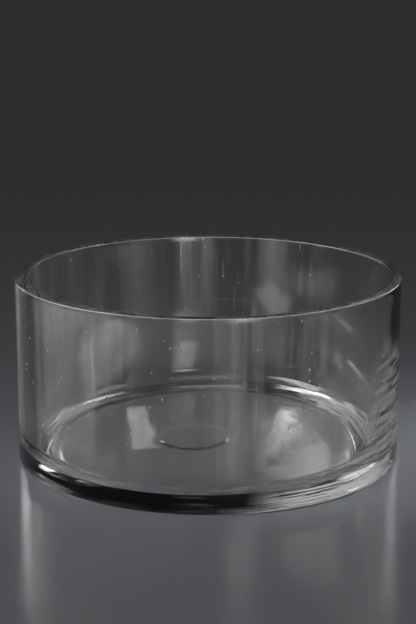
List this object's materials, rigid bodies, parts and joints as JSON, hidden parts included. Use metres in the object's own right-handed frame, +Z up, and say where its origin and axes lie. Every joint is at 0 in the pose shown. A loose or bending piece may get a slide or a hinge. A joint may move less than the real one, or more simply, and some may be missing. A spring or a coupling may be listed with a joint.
{
  "type": "crystallizing dish",
  "caption": "Wide, low, straight-sided round glass dish with a flat cut rim, a wall that thickens to a heavy rounded heel, and no spout.",
  "frame": {"origin": "centre of the underside, on the plane that the dish stands on", "axes": "+Z up along the dish's axis of revolution, from the floor towards the open rim; X and Y are alike"},
  "size_m": [0.19, 0.19, 0.091],
  "materials": {
    "glass": "clear polished glass with faint draw lines"
  },
  "bodies": {
    "root": {"dish": "glass"}
  },
  "joints": []
}
